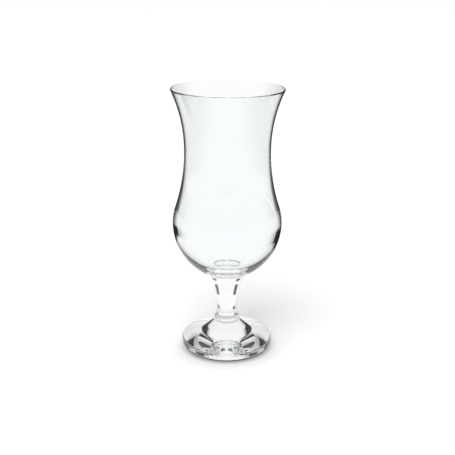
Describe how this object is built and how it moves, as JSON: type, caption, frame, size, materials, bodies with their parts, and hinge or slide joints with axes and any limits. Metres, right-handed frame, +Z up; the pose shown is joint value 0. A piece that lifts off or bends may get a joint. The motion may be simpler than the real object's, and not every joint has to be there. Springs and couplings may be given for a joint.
{
  "type": "hurricane glass",
  "caption": "Tall footed cocktail glass with a flared rim, narrow waist and round belly on a short stem with a ring and a disc foot, for serving drinks.",
  "frame": {"origin": "centre of the flat underside of the foot, on the table", "axes": "+Z up the axis of the glass, towards the rim; X and Y are any two directions across it"},
  "size_m": [0.0846, 0.0846, 0.205],
  "materials": {
    "clear_glass": "clear polished soda-lime glass, fire-polished rim"
  },
  "bodies": {
    "root": {"bowl": "clear_glass", "stem": "clear_glass", "foot": "clear_glass"}
  },
  "joints": []
}
